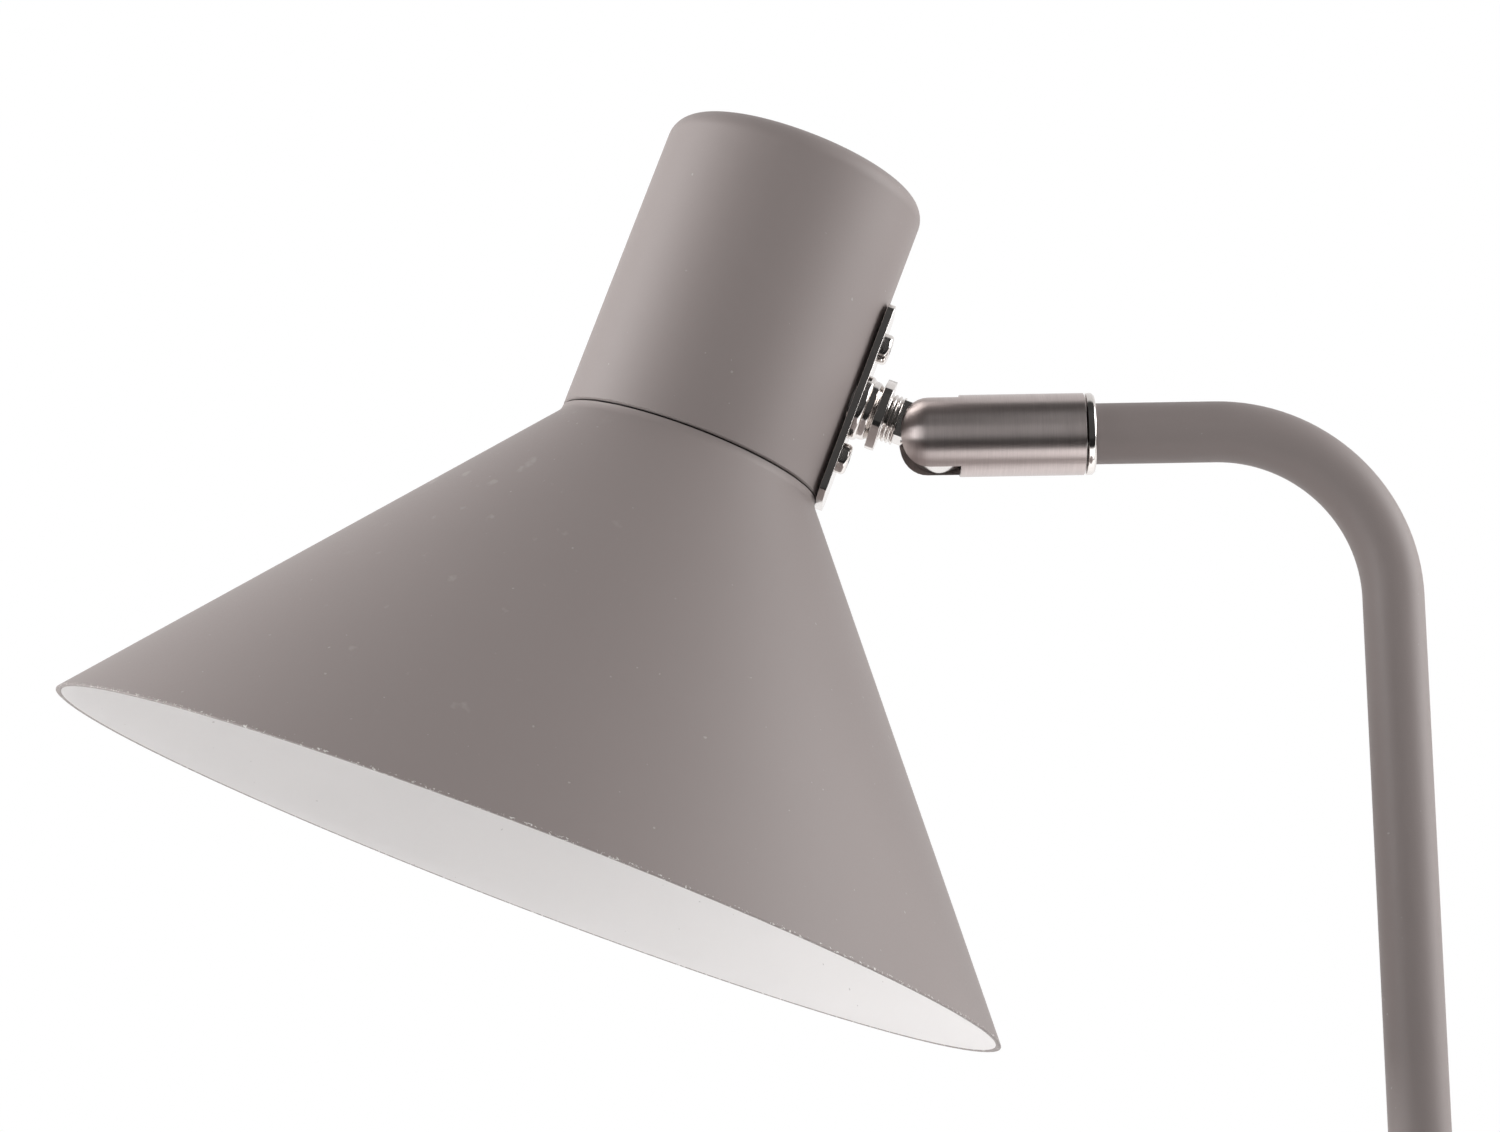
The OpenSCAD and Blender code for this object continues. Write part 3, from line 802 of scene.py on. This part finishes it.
EDGE_MM = {"knuckle_sleeve": 0.15, "tilt_pin": 0.12, "tongue_stud": 0.1,
           "stud_nut": 0.15, "mount_plate": 0.15, "plate_screws": 0.1,
           "cable_gland": 0.4, "base_plate": 0.2, "base_pad": 0.4, "base_screws": 0.15,
           "shade_ring": 0.4, "holder_skirt": 0.3, "bulb_cap": 0.1}
for node, width in EDGE_MM.items():
    edge_broken(node, width)

# %% [markdown]
# The end ring and the stud's collar are plain turned rings with polished faces, so they are
# lathed. Their axis lies along the arm or the stud, which a quarter turn about Y gives.

# %% Turned rings
lay_down = Matrix.Rotation(math.pi / 2, 4, "Y")
ring_place = Matrix.Translation((ring_low.x, 0, arm_z)) @ lay_down
ring_outline = [(4.95, 0), (8.0, 0), (8.14, 0.06), (8.2, 0.2), (8.2, 1.15), (8.12, 1.3),
                (7.75, 1.66), (7.6, 1.7), (4.95, 1.7)]
add_piece("end_ring_turned", lathe("end_ring_turned", ring_outline, ring_place, 96), "stand",
          ["end_ring"], [bright_nickel])
STUD_Z = 21
COLLAR_X = 28.5
collar_ring_place = head @ Matrix.Translation((COLLAR_X * MM, 0, STUD_Z * MM)) @ lay_down
collar_ring_outline = ([(4.95, 0), (6.6, 0), (6.7, 0.1), (6.7, 0.5)] + arc(5.6, 0.5, 1.1, 0, 62)
                       + [(6.08, 1.7), (6.06, 2.2)] + arc(4.96, 2.2, 1.1, 0, 50) + [(5.3, 3.6)]
                       + [(4.95, 3.6)])
add_piece("stud_collar_turned", lathe("stud_collar_turned", collar_ring_outline,
                                      collar_ring_place, 96),
          "head", ["stud_collar"], [bright_nickel])

# %% [markdown]
# ## Bulb
# A compact opal bulb: a ball that runs into a short cone, turned in one go.

# %% Bulb globe
BALL_R = 22.5
BALL_Z = -44.0
BULB_NECK_Z = -20.0
neck_start = math.degrees(math.asin(0.572))
globe_outline = (arc(0, BALL_Z, BALL_R, -90, neck_start, 28)[1:]
                 + [(12.6, BULB_NECK_Z - 1), (12.2, BULB_NECK_Z), (12.2, BULB_NECK_Z + 1.5)]
                 + [(0, BULB_NECK_Z + 1.5)])
globe_outline = [(0, BALL_Z - BALL_R)] + globe_outline
add_piece("globe", lathe("globe", globe_outline, head, 96), "bulb",
          ["bulb_globe"], [opal_glass])
